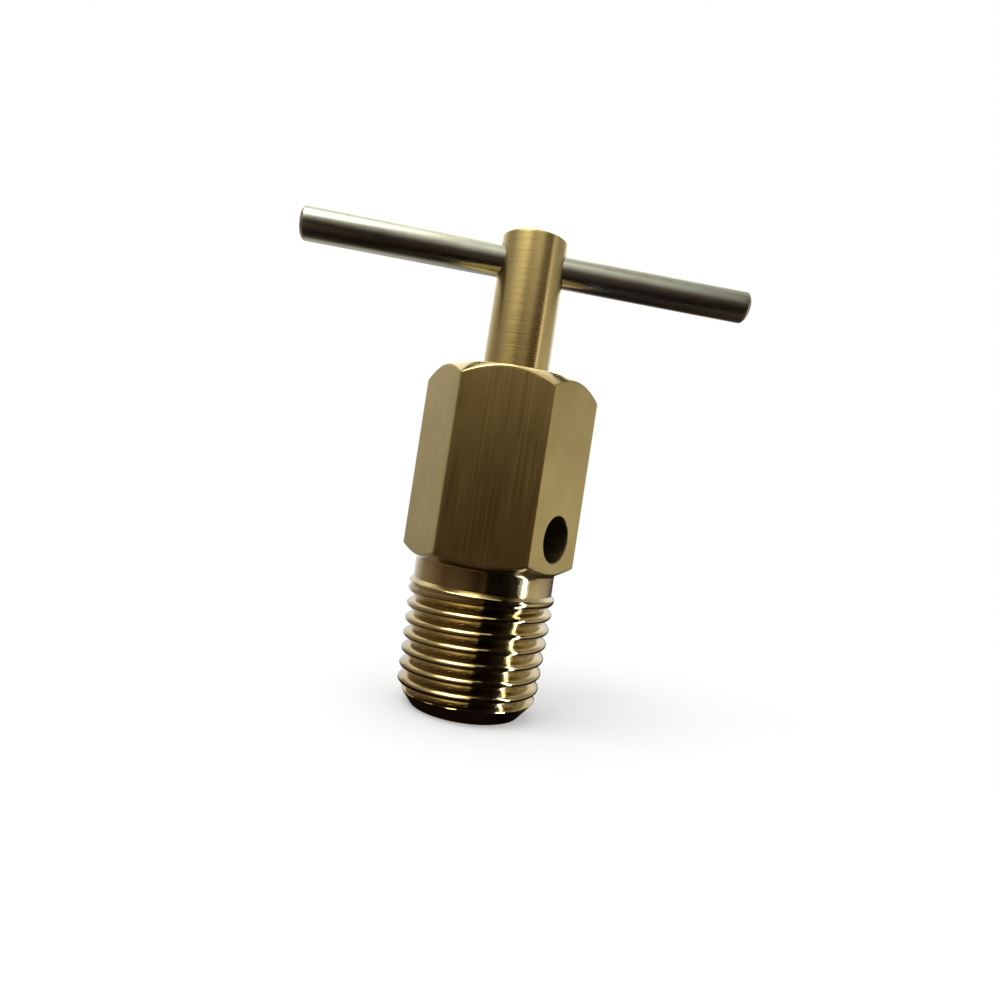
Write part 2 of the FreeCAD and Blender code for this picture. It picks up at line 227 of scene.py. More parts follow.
# Hood that hides the strip from the bar
HOOD_PROFILE = ((17.5 * MM, 13.7 * MM), (10.5 * MM, 13.7 * MM))
HOOD_STATIONS = [
    (54, (0.02, 0.02)),
    (74, (0.02, 0.02)),
]

# Flag above the first one, where the lights along the crests fade into the dark band
CREST_FLAG_PROFILE = ((9.4 * MM, 13.5 * MM), (7.5 * MM, 13.2 * MM))
CREST_FLAG_STATIONS = [
    (23, (0.01, 0.01)),
    (57.5, (0.01, 0.01)),
]


# Node helpers

def put(tree, socket, value):
    """Sets a socket to a plain value, or links an output to it."""
    if isinstance(value, bpy.types.NodeSocket):
        tree.links.new(value, socket)
    else:
        socket.default_value = value


def calc(tree, operation, *values):
    """One Math node on numbers or outputs."""
    node = tree.nodes.new("ShaderNodeMath")
    node.operation = operation
    for socket, value in zip(node.inputs, values):
        put(tree, socket, value)
    return node.outputs[0]


def remap(tree, value, low, high, new_low, new_high, smooth=False):
    """A clamped change of range, straight or with soft ends."""
    node = tree.nodes.new("ShaderNodeMapRange")
    node.interpolation_type = "SMOOTHSTEP" if smooth else "LINEAR"
    for socket, number in zip(node.inputs, (value, low, high, new_low, new_high)):
        put(tree, socket, number)
    return node.outputs[0]


def mix_shaders(tree, share, first, second):
    """The first shader where the share is 0, the second where it is 1."""
    node = tree.nodes.new("ShaderNodeMixShader")
    for socket, output in zip(node.inputs, (share, first, second)):
        tree.links.new(output, socket)
    return node.outputs[0]


# Scene helpers

def new_material(name):
    """A material with its node tree."""
    material = bpy.data.materials.new(name)
    material.use_nodes = True
    return material, material.node_tree


def add_object(name, data):
    """A new object in the scene that shows the data."""
    item = bpy.data.objects.new(name, data)
    bpy.context.scene.collection.objects.link(item)
    return item


def plain_mesh(name, mesh):
    """Mesh data from a mesh that was being edited."""
    data = bpy.data.meshes.new(name)
    mesh.to_mesh(data)
    mesh.free()
    return data


# Screw threads

# A ridge is half a pitch to each side of its crest, and its flanks lie between two shares of its rise
HALF_RIDGE = 0.5
FLANK_START = 0.02
FLANK_END = 0.96
THREAD_INPUTS = ("Pitch", "Depth", "End Radius", "Taper", "Start", "Stop", "Run Out", "Skin Radius")


def thread_tree():
    """A tree that cuts a right-hand helical groove into the outer skin of a turned piece."""
    tree = bpy.data.node_groups.new("screw_thread", "GeometryNodeTree")
    sockets = tree.interface
    sockets.new_socket("Geometry", in_out="INPUT", socket_type="NodeSocketGeometry")
    for name in THREAD_INPUTS:
        sockets.new_socket(name, in_out="INPUT", socket_type="NodeSocketFloat")
    sockets.new_socket("Finish", in_out="INPUT", socket_type="NodeSocketMaterial")
    sockets.new_socket("Geometry", in_out="OUTPUT", socket_type="NodeSocketGeometry")

    given = tree.nodes.new("NodeGroupInput").outputs
    split = tree.nodes.new("ShaderNodeSeparateXYZ")
    place = tree.nodes.new("GeometryNodeInputPosition")
    tree.links.new(place.outputs[0], split.inputs[0])
    x, y, z = split.outputs
    radius = calc(tree, "SQRT", calc(tree, "ADD", calc(tree, "MULTIPLY", x, x), calc(tree, "MULTIPLY", y, y)))

    # Height on the ridge, from 0 at the root to 1 at the crest
    turns = calc(tree, "DIVIDE", calc(tree, "ARCTAN2", y, x), 2 * pi)
    along = calc(tree, "SUBTRACT", calc(tree, "DIVIDE", z, given["Pitch"]), turns)
    rise = remap(tree, calc(tree, "PINGPONG", along, HALF_RIDGE), HALF_RIDGE, 0.0, 0.0, 1.0)
    flank = remap(tree, rise, FLANK_START, FLANK_END, 0.0, 1.0, smooth=True)
    slip = calc(tree, "SUBTRACT", 1.0, rise)
    arch = calc(tree, "SUBTRACT", 1.0, calc(tree, "MULTIPLY", slip, slip))
    ridge = calc(tree, "DIVIDE", calc(tree, "ADD", flank, arch), 2.0)

    # Groove depth, dying away towards the end of the cut
    fade_start = calc(tree, "SUBTRACT", given["Stop"], given["Run Out"])
    fade = remap(tree, z, fade_start, given["Stop"], 1.0, 0.0)
    depth = calc(tree, "MULTIPLY", calc(tree, "MULTIPLY", given["Depth"], fade),
                 calc(tree, "SUBTRACT", 1.0, ridge))
    crest = calc(tree, "MULTIPLY_ADD", z, given["Taper"], given["End Radius"])
    cut_radius = calc(tree, "MINIMUM", radius, calc(tree, "SUBTRACT", crest, depth))

    share = calc(tree, "DIVIDE", cut_radius, radius)
    moved = tree.nodes.new("ShaderNodeCombineXYZ")
    put(tree, moved.inputs[0], calc(tree, "MULTIPLY", x, share))
    put(tree, moved.inputs[1], calc(tree, "MULTIPLY", y, share))
    put(tree, moved.inputs[2], z)

    outer = calc(tree, "GREATER_THAN", radius, given["Skin Radius"])
    above = calc(tree, "GREATER_THAN", z, given["Start"])
    below = calc(tree, "LESS_THAN", z, given["Stop"])
    threaded = calc(tree, "MULTIPLY", outer, calc(tree, "MULTIPLY", above, below))

    cut = tree.nodes.new("GeometryNodeSetPosition")
    tree.links.new(given["Geometry"], cut.inputs["Geometry"])
    tree.links.new(threaded, cut.inputs["Selection"])
    tree.links.new(moved.outputs[0], cut.inputs["Position"])
    real = tree.nodes.new("GeometryNodeRealizeInstances")
    tree.links.new(cut.outputs[0], real.inputs[0])
    finish = tree.nodes.new("GeometryNodeSetMaterial")
    tree.links.new(real.outputs[0], finish.inputs["Geometry"])
    tree.links.new(threaded, finish.inputs["Selection"])
    tree.links.new(given["Finish"], finish.inputs["Material"])
    out = tree.nodes.new("NodeGroupOutput")
    tree.links.new(finish.outputs[0], out.inputs[0])
    return tree


def cut_thread(piece, tree, finish, sizes):
    """Runs the thread tree on a piece with the given sizes, and keeps the result as its plain mesh."""
    modifier = piece.modifiers.new("thread", "NODES")
    modifier.node_group = tree
    identifiers = {item.name: item.identifier for item in tree.interface.items_tree if item.in_out == "INPUT"}
    for name in THREAD_INPUTS:
        modifier[identifiers[name]] = sizes[name]
    modifier[identifiers["Finish"]] = finish
    keep_evaluated_mesh(piece)


# Turned shapes

def keep_evaluated_mesh(piece):
    """The piece's modifiers become its plain mesh."""
    bpy.context.view_layer.update()
    evaluated = piece.evaluated_get(bpy.context.evaluated_depsgraph_get())
    old = piece.data
    piece.data = bpy.data.meshes.new_from_object(evaluated)
    piece.modifiers.clear()
    bpy.data.meshes.remove(old)
    piece.data.name = piece.name


def eased(profile):
    """Corners as short curves.

    Points of (radius, height, ease, finish) become points of (radius, height, finish).
    """
    points = []
    count = len(profile)
    for index, (radius, height, ease, finish) in enumerate(profile):
        corner = Vector((radius, height))
        if ease == 0:
            points.append((radius, height, finish))
            continue
        before = Vector(profile[index - 1][:2])
        after = Vector(profile[(index + 1) % count][:2])
        start = corner + (before - corner).normalized() * ease
        end = corner + (after - corner).normalized() * ease
        for step in range(EASE_STEPS + 1):
            share = step / EASE_STEPS
            point = start.lerp(corner, share).lerp(corner.lerp(end, share), share)
            points.append((point.x, point.y, finish))
    return points


def turned_piece(name, profile_at, angles, finishes, closed):
    """A skin through the profile at each angle.

    A closed profile is a ring's section, and an open one has both ends on the axis.
    """
    mesh = bmesh.new()
    rings = []
    for angle in angles:
        ring = []
        for radius, height, finish in profile_at(angle):
            ring.append((Vector((radius * cos(angle), radius * sin(angle), height)), radius, finish))
        rings.append(ring)
    rows = []
    for row in range(len(rings[0])):
        if rings[0][row][1] == 0:
            pole = mesh.verts.new(rings[0][row][0])
            rows.append([pole] * len(rings))
        else:
            rows.append([mesh.verts.new(ring[row][0]) for ring in rings])
    spans = len(rows) if closed else len(rows) - 1
    for row in range(spans):
        low, high = rows[row], rows[(row + 1) % len(rows)]
        for column in range(len(angles)):
            after = (column + 1) % len(angles)
            corners = list(dict.fromkeys((low[column], low[after], high[after], high[column])))
            face = mesh.faces.new(corners)
            face.material_index = rings[0][row][2]
            face.smooth = True
    bmesh.ops.recalc_face_normals(mesh, faces=mesh.faces)
    data = plain_mesh(name, mesh)
    for finish in finishes:
        data.materials.append(finish)
    return add_object(name, data)


def even_angles(count):
    """Columns at equal angles round the axis."""
    return [2 * pi * step / count for step in range(count)]


def turned_to(axis):
    """The turn that lays the upright axis of a turned shape along another axis."""
    return axis.to_track_quat("Z", "Y").to_matrix().to_4x4()


def drill(piece, profile, centre, axis, finish):
    """Takes a turned cutter away from the piece, along an axis through centre."""
    points = eased(profile)
    cutter = turned_piece("cutter", lambda angle: points, even_angles(DRILL_COLUMNS), [finish], closed=False)
    cutter.data.transform(Matrix.Translation(centre) @ turned_to(axis))
    cut = piece.modifiers.new("drill", "BOOLEAN")
    cut.operation = "DIFFERENCE"
    cut.solver = "EXACT"
    cut.material_mode = "TRANSFER"
    cut.object = cutter
    keep_evaluated_mesh(piece)
    bpy.data.objects.remove(cutter)


def crisp_edges(piece):
    """Smooth shading that breaks at sharp edges."""
    for polygon in piece.data.polygons:
        polygon.use_smooth = True
    piece.data.set_sharp_from_angle(angle=CRISP_ANGLE)


def fit_out(piece, body, node):
    """The piece gets crisp edges, rides on its body and stands for its node, whose solid is hidden."""
    crisp_edges(piece)
    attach(piece, body)
    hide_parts(node)


# Body

def hexagon_radius(angle):
    """Distance from the axis to the hexagon's side, with its upright corners rounded."""
    corner = (angle + HALF_SIDE) % SIDE_ANGLE - HALF_SIDE
    if abs(corner) < ROUND_END:
        across = ROUND_CENTRE * sin(corner)
        return ROUND_CENTRE * cos(corner) + sqrt(HEX_CORNER_ROUND ** 2 - across ** 2)
    return FLAT_RADIUS / cos(HALF_SIDE - abs(corner))


def hexagon_angles():
    """Columns round the body: close together at the hexagon's corners and even along its flats."""
    sector = [-ROUND_END, -ROUND_END / 2, 0, ROUND_END / 2]
    flat_angle = SIDE_ANGLE - 2 * ROUND_END
    for step in range(FLAT_COLUMNS):
        sector.append(ROUND_END + flat_angle * step / FLAT_COLUMNS)
    return [SIDE_ANGLE * side + offset for side in range(HEX_SIDES) for offset in sector]


def shank_radius(height):
    """The shank's plain skin over the thread's crests: end chamfer, taper, and step down to the neck."""
    chamfer = SHANK_END_RADIUS + height * END_CHAMFER_SLOPE
    crests = THREAD_END_RADIUS + height * THREAD_TAPER
    step = NECK_RADIUS + max(0.0, THREAD_LENGTH + THREAD_LENGTH * THREAD_TAPER - height)
    return min(chamfer, crests, step)


# Finishes of the body, in the order of its material slots; the bores' finish carries painted shade
FLAT, TURNED, THREAD, SHADED_BORE = range(4)


def body_profile(angle):
    """The body's section at an angle, from the inlet's mouth up the outside and back down the waterway."""
    side = hexagon_radius(angle)
    low_edge = HEX_BOTTOM + (side - NECK_RADIUS) * HEX_BOTTOM_SLOPE
    high_edge = HEX_TOP - (side - HEX_TOP_RADIUS)
    support = 0.25 * MM
    soft = 0.1 * MM
    neck_support = 0.3 * MM
    neck_fillet = 0.15 * MM
    neck_start = THREAD_LENGTH * (1 + THREAD_TAPER)
    rows = round(neck_start / THREAD_ROW)
    section = [(INLET_RADIUS, 0, soft, TURNED), (SHANK_END_RADIUS - soft, 0, 0, TURNED)]
    for row in range(rows + 1):
        height = neck_start * row / rows
        section.append((shank_radius(height), height, 0, TURNED))
    section += [
        (NECK_RADIUS, neck_start + neck_support, 0, TURNED),
        (NECK_RADIUS, HEX_BOTTOM, neck_fillet, TURNED),
        (side, low_edge, soft, FLAT),
        (side, low_edge + support, 0, FLAT),
        (side, (low_edge + high_edge) / 2, 0, FLAT),
        (side, high_edge - support, 0, FLAT),
        (side, high_edge, soft, TURNED),
        (HEX_TOP_RADIUS, HEX_TOP, soft, TURNED),
        (HEX_TOP_RADIUS - support, HEX_TOP, 0, TURNED),
        (STEM_BORE_RADIUS + MOUTH_CHAMFER + support, HEX_TOP, 0, TURNED),
        (STEM_BORE_RADIUS + MOUTH_CHAMFER, HEX_TOP, soft, TURNED),
        # From here down, the bores take the dark finish that paints shade into them
        (STEM_BORE_RADIUS, HEX_TOP - MOUTH_CHAMFER, soft, SHADED_BORE),
        (STEM_BORE_RADIUS, SEAT_HEIGHT, 0, SHADED_BORE),
        (ORIFICE_RADIUS, SEAT_HEIGHT, 0, SHADED_BORE),
        (ORIFICE_RADIUS, ORIFICE_BOTTOM, 0, SHADED_BORE),
        (INLET_RADIUS, INLET_DEPTH, 0, SHADED_BORE),
    ]
    return eased(section)


def make_body(thread, finishes):
    """Hexagon body with its pipe thread, waterway and drain port."""
    body = turned_piece("hexagon_body", body_profile, hexagon_angles(), finishes, closed=True)
    cut_thread(body, thread, finishes[THREAD], {
        "Pitch": PIPE_PITCH,
        "Depth": PIPE_DEPTH,
        "End Radius": THREAD_END_RADIUS,
        "Taper": THREAD_TAPER,
        "Start": PIPE_START,
        "Stop": THREAD_LENGTH,
        "Run Out": PIPE_RUN_OUT,
        "Skin Radius": (INLET_RADIUS + SHANK_END_RADIUS) / 2,
    })
    rim = 0.1 * MM
    beyond = 0.5 * MM
    port_end = STEM_BORE_RADIUS / 2
    port_cutter = [
        (0, port_end, 0, 0),
        (PORT_RADIUS, port_end, 0, 0),
        (PORT_RADIUS, FLAT_RADIUS - rim, 0, 0),
        (PORT_RADIUS + rim + beyond, FLAT_RADIUS + beyond, 0, 0),
        (0, FLAT_RADIUS + beyond, 0, 0),
    ]
    # The drain port's walls take the bores' dark finish, which is painted shade
    drill(body, port_cutter, Vector((0, 0, PORT_HEIGHT)), PORT_AXIS, finishes[SHADED_BORE])
    fit_out(body, "body", "body")


# Stem, tee bar and seat disc

def bar_axis():
    """Direction of the tee bar and of the cross hole that holds it."""
    return Vector((cos(BAR_TURN), sin(BAR_TURN), 0))


def make_stem(thread, finish):
    """Stem with its cup, nose, screw thread and cross hole."""
    soft = 0.12 * MM
    cup_soft = 0.08 * MM
    beyond = 1.0 * MM
    shoulder_top = NOSE_TOP + STEM_RADIUS - NOSE_RADIUS
    section = [
        (0, CUP_TOP, 0, 0),
        (CUP_RADIUS, CUP_TOP, 0, 0),
        (CUP_RADIUS, STEM_LOW.z, cup_soft, 0),
        (NOSE_RADIUS, STEM_LOW.z, cup_soft, 0),
        (NOSE_RADIUS, NOSE_TOP, soft, 0),
    ]
    rows = round((SCREW_TOP - shoulder_top) / THREAD_ROW)
    for row in range(rows + 1):
        section.append((STEM_RADIUS, shoulder_top + (SCREW_TOP - shoulder_top) * row / rows, 0, 0))
    section += [
        (STEM_RADIUS, BAR_HEIGHT - CROSS_HOLE_RADIUS - 2 * soft, 0, 0),
        (STEM_RADIUS, STEM_TOP - 3 * STEM_CHAMFER, 0, 0),
        (STEM_RADIUS, STEM_TOP - STEM_CHAMFER, STEM_CHAMFER / 2, 0),
        (STEM_RADIUS - STEM_CHAMFER, STEM_TOP, STEM_CHAMFER / 2, 0),
        (STEM_RADIUS - 3 * STEM_CHAMFER, STEM_TOP, 0, 0),
        (0, STEM_TOP, 0, 0),
    ]
    points = eased(section)
    stem = turned_piece("screw_stem", lambda angle: points, even_angles(STEM_COLUMNS), [finish], closed=False)
    cut_thread(stem, thread, finish, {
        "Pitch": SCREW_PITCH,
        "Depth": SCREW_DEPTH,
        "End Radius": STEM_RADIUS,
        "Taper": 0.0,
        "Start": shoulder_top,
        "Stop": SCREW_TOP,
        "Run Out": SCREW_RUN_OUT,
        "Skin Radius": NOSE_RADIUS,
    })
    reach = STEM_RADIUS + beyond
    hole_cutter = [
        (0, -reach, 0, 0),
        (CROSS_HOLE_RADIUS, -reach, 0, 0),
        (CROSS_HOLE_RADIUS, reach, 0, 0),
        (0, reach, 0, 0),
    ]
    drill(stem, hole_cutter, Vector((0, 0, BAR_HEIGHT)), bar_axis(), finish)
    fit_out(stem, "stem", "stem")


def make_tee_bar(finish):
    """Plain round bar with a small chamfer at each end."""
    half = BAR_LENGTH / 2
    soft = 0.1 * MM
    end_radius = BAR_RADIUS - BAR_END_CHAMFER
    section = [
        (0, -half, 0, 0),
        (end_radius - 2 * soft, -half, 0, 0),
        (end_radius, -half, soft, 0),
        (BAR_RADIUS, -half + BAR_END_CHAMFER, soft, 0),
        (BAR_RADIUS, -half + 3 * BAR_END_CHAMFER, 0, 0),
        (BAR_RADIUS, 0, 0, 0),
        (BAR_RADIUS, half - 3 * BAR_END_CHAMFER, 0, 0),
        (BAR_RADIUS, half - BAR_END_CHAMFER, soft, 0),
        (end_radius, half, soft, 0),
        (end_radius - 2 * soft, half, 0, 0),
        (0, half, 0, 0),
    ]
    points = eased(section)
    bar = turned_piece("tee_handle", lambda angle: points, even_angles(BAR_COLUMNS), [finish], closed=False)
    bar.data.transform(Matrix.Translation((0, 0, BAR_HEIGHT)) @ turned_to(bar_axis()))
    fit_out(bar, "stem", "tee_bar")


def make_seat_disc(finish):
    """Soft disc in the stem's cup, which closes the orifice."""
    soft = 0.2 * MM
    section = [
        (0, DISC_LOW.z, 0, 0),
        (DISC_RADIUS - 2 * soft, DISC_LOW.z, 0, 0),
        (DISC_RADIUS, DISC_LOW.z, soft, 0),
        (DISC_RADIUS, DISC_HIGH.z, soft, 0),
        (DISC_RADIUS - 2 * soft, DISC_HIGH.z, 0, 0),
        (0, DISC_HIGH.z, 0, 0),
    ]
    points = eased(section)
    angles = even_angles(DISC_COLUMNS)
    disc = turned_piece("rubber_disc", lambda angle: points, angles, [finish], closed=False)
    fit_out(disc, "seat_disc", "seat_disc")


# Finishes: levels are the noise values between which a mark, cloud or change of gloss goes from none to full

NOISE_DETAIL = 4.0
EVEN = (1, 1, 1)
CLOUD_SIZE = 260.0
TARNISH_LEVELS = (0.35, 0.68)
WEAR_LEVELS = (0.3, 0.7)
WEAR_SHARE = 0.45
GLOSS_LEVELS = (0.25, 0.75)
MARK_STRENGTH = 0.35
FILM_ROUGHNESS = 0.08
QUARTER_TURN = 0.25


def object_noise(tree, scale, size=1.0, turn=0.0):
    """Noise on object coordinates, stretched by a scale for each axis and turned about the upright axis."""
    coordinates = tree.nodes.new("ShaderNodeTexCoord")
    mapping = tree.nodes.new("ShaderNodeMapping")
    mapping.inputs["Scale"].default_value = scale
    mapping.inputs["Rotation"].default_value = (0, 0, -turn)
    tree.links.new(coordinates.outputs["Object"], mapping.inputs["Vector"])
    noise = tree.nodes.new("ShaderNodeTexNoise")
    noise.inputs["Scale"].default_value = size
    noise.inputs["Detail"].default_value = NOISE_DETAIL
    tree.links.new(mapping.outputs[0], noise.inputs["Vector"])
    return noise.outputs["Fac"]


def blend_colours(tree, share, first, second):
    """A mix of two colours by a share that varies over the surface."""
    node = tree.nodes.new("ShaderNodeMix")
    node.data_type = "RGBA"
    colours = [socket for socket in node.inputs if socket.type == "RGBA"]
    for socket, value in zip((node.inputs["Factor"], *colours), (share, first, second)):
        put(tree, socket, value)
    return next(socket for socket in node.outputs if socket.type == "RGBA")


def raise_marks(tree, shader, marks, strength, depth):
    """Gives the marks a height on the shader's surface."""
    bump = tree.nodes.new("ShaderNodeBump")
    bump.inputs["Strength"].default_value = strength
    bump.inputs["Distance"].default_value = depth
    tree.links.new(marks, bump.inputs["Height"])
    tree.links.new(bump.outputs[0], shader.inputs["Normal"])


def metal_finish(name, tones, streaks, roughness, scratch_depth, stretch, turned, turn=0.0, film=0.0):
    """Dull worn metal: cloudy tarnish between two tones, and tool marks in a third.

    The tool marks also vary its gloss and height. A turned piece shines across its rings. A film is a thin clear
    coat.
    """
    material, tree = new_material(name)
    shader = tree.nodes["Principled BSDF"]
    shader.inputs["Metallic"].default_value = 1.0
    shader.inputs["Anisotropic"].default_value = stretch
    shader.inputs["Anisotropic Rotation"].default_value = QUARTER_TURN if turned else 0.0
    shader.inputs["Coat Weight"].default_value = film
    shader.inputs["Coat Roughness"].default_value = FILM_ROUGHNESS
    tangent = tree.nodes.new("ShaderNodeTangent")
    tangent.direction_type = "RADIAL"
    tangent.axis = "Z"
    tree.links.new(tangent.outputs[0], shader.inputs["Tangent"])
    marks = object_noise(tree, streaks, turn=turn)
    clouds = object_noise(tree, EVEN, size=CLOUD_SIZE)
    clean, tarnished, worn = tones
    tarnish_share = remap(tree, clouds, *TARNISH_LEVELS, 0.0, 1.0)
    wear_share = remap(tree, marks, *WEAR_LEVELS, 0.0, WEAR_SHARE)
    tone = blend_colours(tree, wear_share, blend_colours(tree, tarnish_share, clean, tarnished), worn)
    tree.links.new(tone, shader.inputs["Base Color"])
    tree.links.new(remap(tree, marks, *GLOSS_LEVELS, *roughness), shader.inputs["Roughness"])
    raise_marks(tree, shader, marks, MARK_STRENGTH, scratch_depth)
    return material


def flat_brass():
    """Drawn hexagon bar: faint streaks along the axis."""
    return metal_finish(
        "drawn_brass",
        tones=((0.46, 0.34, 0.115, 1), (0.38, 0.275, 0.085, 1), (0.5, 0.375, 0.14, 1)),
        streaks=(4200, 4200, 120),
        roughness=(0.26, 0.4),
        scratch_depth=0.006 * MM,
        stretch=0.55,
        turned=False,
    )


def turned_brass():
    """Turned chamfers, neck and end face: fine rings."""
    return metal_finish(
        "turned_brass",
        tones=((0.46, 0.34, 0.115, 1), (0.37, 0.265, 0.08, 1), (0.52, 0.39, 0.15, 1)),
        streaks=(150, 150, 9000),
        roughness=(0.14, 0.23),
        scratch_depth=0.005 * MM,
        stretch=0.4,
        turned=True,
        film=0.8,
    )


def thread_brass():
    """Cut thread: rings along the ridges, a little darker in tone."""
    return metal_finish(
        "cut_thread_brass",
        tones=((0.44, 0.325, 0.11, 1), (0.34, 0.245, 0.075, 1), (0.52, 0.39, 0.15, 1)),
        streaks=(260, 260, 7000),
        roughness=(0.11, 0.19),
        scratch_depth=0.005 * MM,
        stretch=0.2,
        turned=True,
        film=0.8,
    )


def bore_brass_painted_shade():
    """Drilled bores: dull and ringed, in a dark tone that is painted shade inside the holes."""
    return metal_finish(
        "bore_brass_painted_shade",
        # Tones about a third of the outer brass: painted shade in the bores and the drain port
        tones=((0.16, 0.12, 0.05, 1), (0.1, 0.07, 0.03, 1), (0.22, 0.16, 0.07, 1)),
        streaks=(400, 400, 5000),
        roughness=(0.4, 0.6),
        scratch_depth=0.01 * MM,
        stretch=0.0,
        turned=True,
    )


def stem_brass():
    """Turned rod, brighter than the body."""
    return metal_finish(
        "stem_brass",
        tones=((0.5, 0.37, 0.125, 1), (0.42, 0.305, 0.095, 1), (0.56, 0.42, 0.16, 1)),
        streaks=(120, 120, 8000),
        roughness=(0.24, 0.34),
        scratch_depth=0.005 * MM,
        stretch=0.7,
        turned=True,
        film=0.5,
    )


def bar_metal():
    """Plated drawn rod: greyer than the brass, with streaks along it."""
    return metal_finish(
        "plated_rod",
        tones=((0.33, 0.33, 0.25, 1), (0.26, 0.255, 0.185, 1), (0.38, 0.38, 0.3, 1)),
        streaks=(120, 5200, 5200),
        roughness=(0.18, 0.27),
        scratch_depth=0.005 * MM,
        stretch=0.0,
        turned=True,
        turn=BAR_TURN,
    )


def disc_rubber():
    """Black rubber with fine speckle."""
    black = (0.012, 0.012, 0.012, 1)
    grey = (0.03, 0.029, 0.028, 1)
    speckle_size = 4500.0
    speckle_levels = (0.35, 0.7)
    roughness = (0.55, 0.75)
    pit_strength = 0.4
    pit_depth = 0.02 * MM
    material, tree = new_material("seat_rubber")
    shader = tree.nodes["Principled BSDF"]
    speckle = object_noise(tree, EVEN, size=speckle_size)
    tone = blend_colours(tree, remap(tree, speckle, *speckle_levels, 0.0, 1.0), black, grey)
    tree.links.new(tone, shader.inputs["Base Color"])
    tree.links.new(remap(tree, speckle, *WEAR_LEVELS, *roughness), shader.inputs["Roughness"])
    raise_marks(tree, shader, speckle, pit_strength, pit_depth)
    return material


# Studio

def round_the_object(azimuth, distance, height):
    """A place round the axis: azimuth 0 is in front, towards -Y, and 90 is at the right, towards +X."""
    return Vector((sin(azimuth) * distance, -cos(azimuth) * distance, height))


def seen_as_background(tree):
    """1 for rays that show the background, straight or mirrored."""
    path = tree.nodes.new("ShaderNodeLightPath").outputs
    return calc(tree, "MAXIMUM", path["Is Camera Ray"], path["Is Glossy Ray"])


def add_world():
    """An even white room."""
    world = bpy.data.worlds.new("white_room")
    bpy.context.scene.world = world
    world.use_nodes = True
    light = world.node_tree.nodes["Background"]
    light.inputs["Color"].default_value = (1, 1, 1, 1)
    light.inputs["Strength"].default_value = 1.0


def add_floor():
    """A pale floor that keeps the shadow near the object and runs out into white."""
    data = bpy.data.meshes.new("floor")
    corners = [(x * FLOOR_HALF, y * FLOOR_HALF, 0) for x, y in ((-1, -1), (1, -1), (1, 1), (-1, 1))]
    data.from_pydata(corners, [], [(0, 1, 2, 3)])
    floor = add_object("floor", data)
    material, tree = new_material("pale_floor")
    tree.nodes.remove(tree.nodes["Principled BSDF"])
    pale = tree.nodes.new("ShaderNodeBsdfDiffuse")
    pale.inputs["Color"].default_value = FLOOR_TONE
    white = tree.nodes.new("ShaderNodeEmission")
    white.inputs["Strength"].default_value = 1.0
    place = tree.nodes.new("ShaderNodeTexCoord")
    length = tree.nodes.new("ShaderNodeVectorMath")
    length.operation = "LENGTH"
    tree.links.new(place.outputs["Object"], length.inputs[0])
    near = remap(tree, length.outputs["Value"], SHADOW_NEAR, SHADOW_FAR, SHADOW_SHARE, 0.0, smooth=True)
    shown = mix_shaders(tree, near, white.outputs[0], pale.outputs[0])
    surface = mix_shaders(tree, seen_as_background(tree), pale.outputs[0], shown)
    tree.links.new(surface, tree.nodes["Material Output"].inputs["Surface"])
    data.materials.append(material)


def card_tone(level, bright_tint):
    """A card's colour at a light level."""
    bright_share = min(1.0, level / FULL_TINT_LEVEL)
    return (*(Vector(DIM_TINT).lerp(Vector(bright_tint), bright_share) * level), 1)


def place_on_tent(azimuth, elevation):
    """A point of the tent: on a dome round the axis, or on the floor where the dome would go below it."""
    height = CAMERA_HEIGHT + TENT_RADIUS * sin(radians(elevation))
    reach = TENT_RADIUS * cos(radians(elevation))
    if height < FLOOR_CARD_HEIGHT:
        height = FLOOR_CARD_HEIGHT
        reach = CAMERA_HEIGHT / tan(radians(-elevation))
    return round_the_object(radians(azimuth), reach, height)


def place_up(profile):
    """The places of a card that follows a profile of (reach, height) points, measured up it in points."""
    def place(azimuth, height):
        foot = min(int(height), len(profile) - 2)
        reach, rise = Vector(profile[foot]).lerp(Vector(profile[foot + 1]), height - foot)
        return round_the_object(radians(azimuth), reach, rise)
    return place


def finer(stops, count):
    """The (place, values) stops with extra ones between them, so that neighbours blend into each other."""
    fine = []
    for (first_place, first), (second_place, second) in zip(stops, stops[1:]):
        for step in range(count):
            share = step / count
            values = [low + (high - low) * share for low, high in zip(first, second)]
            fine.append((first_place + (second_place - first_place) * share, values))
    return fine + [stops[-1]]


def add_card(name, stations, rows, place, glow, bright_tint=WHITE_TINT):
    """A studio card round the object that only mirrored rays see.

    A station is an azimuth with the light levels at the rows. A point's place follows from azimuth and row.
    """
    mesh = bmesh.new()
    shade = mesh.verts.layers.float_color.new("tone")
    grid = []
    for azimuth, levels in finer(stations, STATION_STEPS):
        line = []
        stops = [(row, (level,)) for row, level in zip(rows, levels)]
        for row, (level,) in finer(stops, ROW_STEPS):
            vertex = mesh.verts.new(place(azimuth, row))
            vertex[shade] = card_tone(level, bright_tint)
            line.append(vertex)
        grid.append(line)
    for left, right in zip(grid, grid[1:]):
        for row in range(len(left) - 1):
            mesh.faces.new((left[row], right[row], right[row + 1], left[row + 1]))
    card = add_object(name, plain_mesh(name, mesh))
    card.visible_camera = False
    card.visible_diffuse = False
    card.visible_transmission = False
    card.visible_shadow = False
    card.data.materials.append(glow)


def add_low_card(name, profile, stations, glow, bright_tint=WHITE_TINT):
    """A card that follows a profile, with a row of light levels at each of its points."""
    add_card(name, stations, range(len(profile)), place_up(profile), glow, bright_tint)


